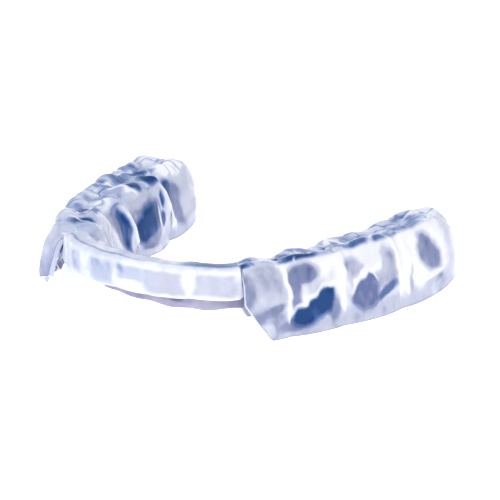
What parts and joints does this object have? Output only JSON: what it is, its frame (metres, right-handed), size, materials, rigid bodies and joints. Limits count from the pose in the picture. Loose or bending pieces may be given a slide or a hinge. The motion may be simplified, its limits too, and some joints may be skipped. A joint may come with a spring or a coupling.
{
  "type": "lower-arch mouthguard",
  "caption": "Clear lower-arch sports mouthguard: laminated bite pods over the back teeth, joined by a thin front band and a lingual strip.",
  "frame": {"origin": "middle of the whole part's bounding box in X and Y, at the plane that the pods' rims rest on", "axes": "+X across the mouth to one side, +Y from the front teeth to the back of the mouth, +Z from the rims up to the biting surface"},
  "size_m": [0.0631, 0.0474, 0.0126],
  "materials": {
    "clear_shell": "clear glossy hard plastic with a periwinkle tint",
    "clear_pad": "clear blue bite layer, seen deep inside the shell",
    "clear_liner": "soft clear inner layer with a faint haze",
    "clear_band": "clear glossy thin plastic with pale facets",
    "smoky_strip": "clear plastic seen edge on, smoky lilac"
  },
  "bodies": {
    "root": {"left_outer_shell": "clear_shell", "right_outer_shell": "clear_shell", "left_bite_pad": "clear_pad", "right_bite_pad": "clear_pad", "left_liner": "clear_liner", "right_liner": "clear_liner", "front_band": "clear_band", "lingual_strip": "smoky_strip"}
  },
  "joints": []
}
